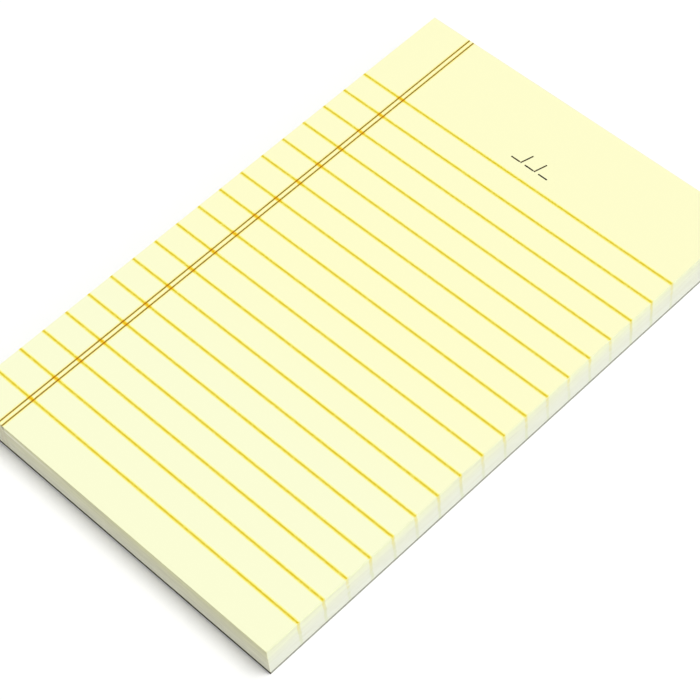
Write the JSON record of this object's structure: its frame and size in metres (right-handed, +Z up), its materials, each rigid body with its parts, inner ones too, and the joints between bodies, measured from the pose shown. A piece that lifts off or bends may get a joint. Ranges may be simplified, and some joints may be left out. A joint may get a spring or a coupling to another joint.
{
  "type": "legal pad",
  "caption": "Pad of ruled yellow sheets glued along the head to a chipboard back, with a double margin line and rules that run off the cut edges.",
  "frame": {"origin": "under the middle of the pad, on the surface that it lies on", "axes": "+X across the page to the reader's right, +Y up the page to the glued head, +Z up out of the ruled face"},
  "size_m": [0.127, 0.1982, 0.0121],
  "materials": {
    "yellow_paper": "matte",
    "grey_chipboard": "matte",
    "padding_glue": "satin",
    "rule_ink": "matte",
    "margin_ink": "matte",
    "edge_ink": "matte"
  },
  "bodies": {
    "root": {"page_block": "yellow_paper", "backing_board": "grey_chipboard", "glue_binding": "padding_glue", "rule_lines": "rule_ink", "margin_lines": "margin_ink", "edge_ticks": "edge_ink"}
  },
  "joints": []
}
